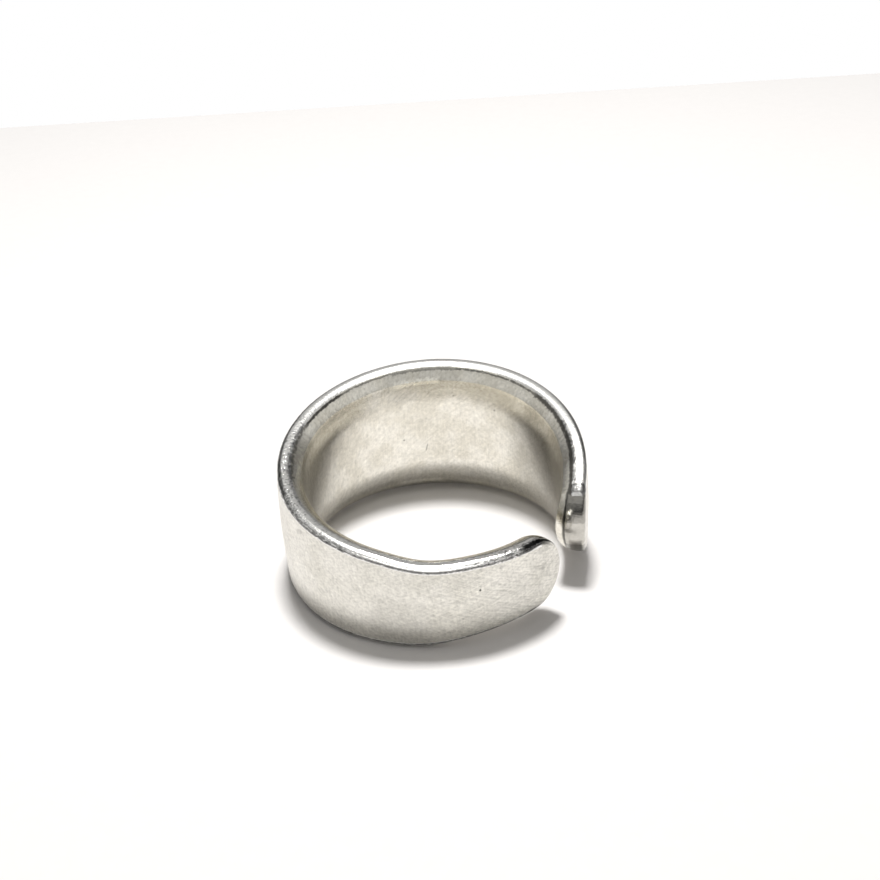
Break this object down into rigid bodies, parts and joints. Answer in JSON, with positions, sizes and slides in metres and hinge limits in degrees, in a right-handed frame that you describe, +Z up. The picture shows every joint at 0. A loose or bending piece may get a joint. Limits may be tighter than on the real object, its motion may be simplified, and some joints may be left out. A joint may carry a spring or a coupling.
{
  "type": "spoon ring",
  "caption": "Open spoon ring bent from a tapering silver strip with rounded ends, worn on a finger and adjusted at the gap between its ends.",
  "frame": {"origin": "centre of the bounding box's base, on the surface that the ring lies on", "axes": "+Z up from that surface, +X towards the straight arm, -Y towards the viewer, where the front end is. The ring's own axis leans 5.2 degrees from +Z towards -Y, as the ring rests on its lower edge"},
  "size_m": [0.0214, 0.0218, 0.011],
  "materials": {
    "silver": "satin silver with a polished rim"
  },
  "bodies": {
    "root": {"ring_band": "silver"}
  },
  "joints": []
}
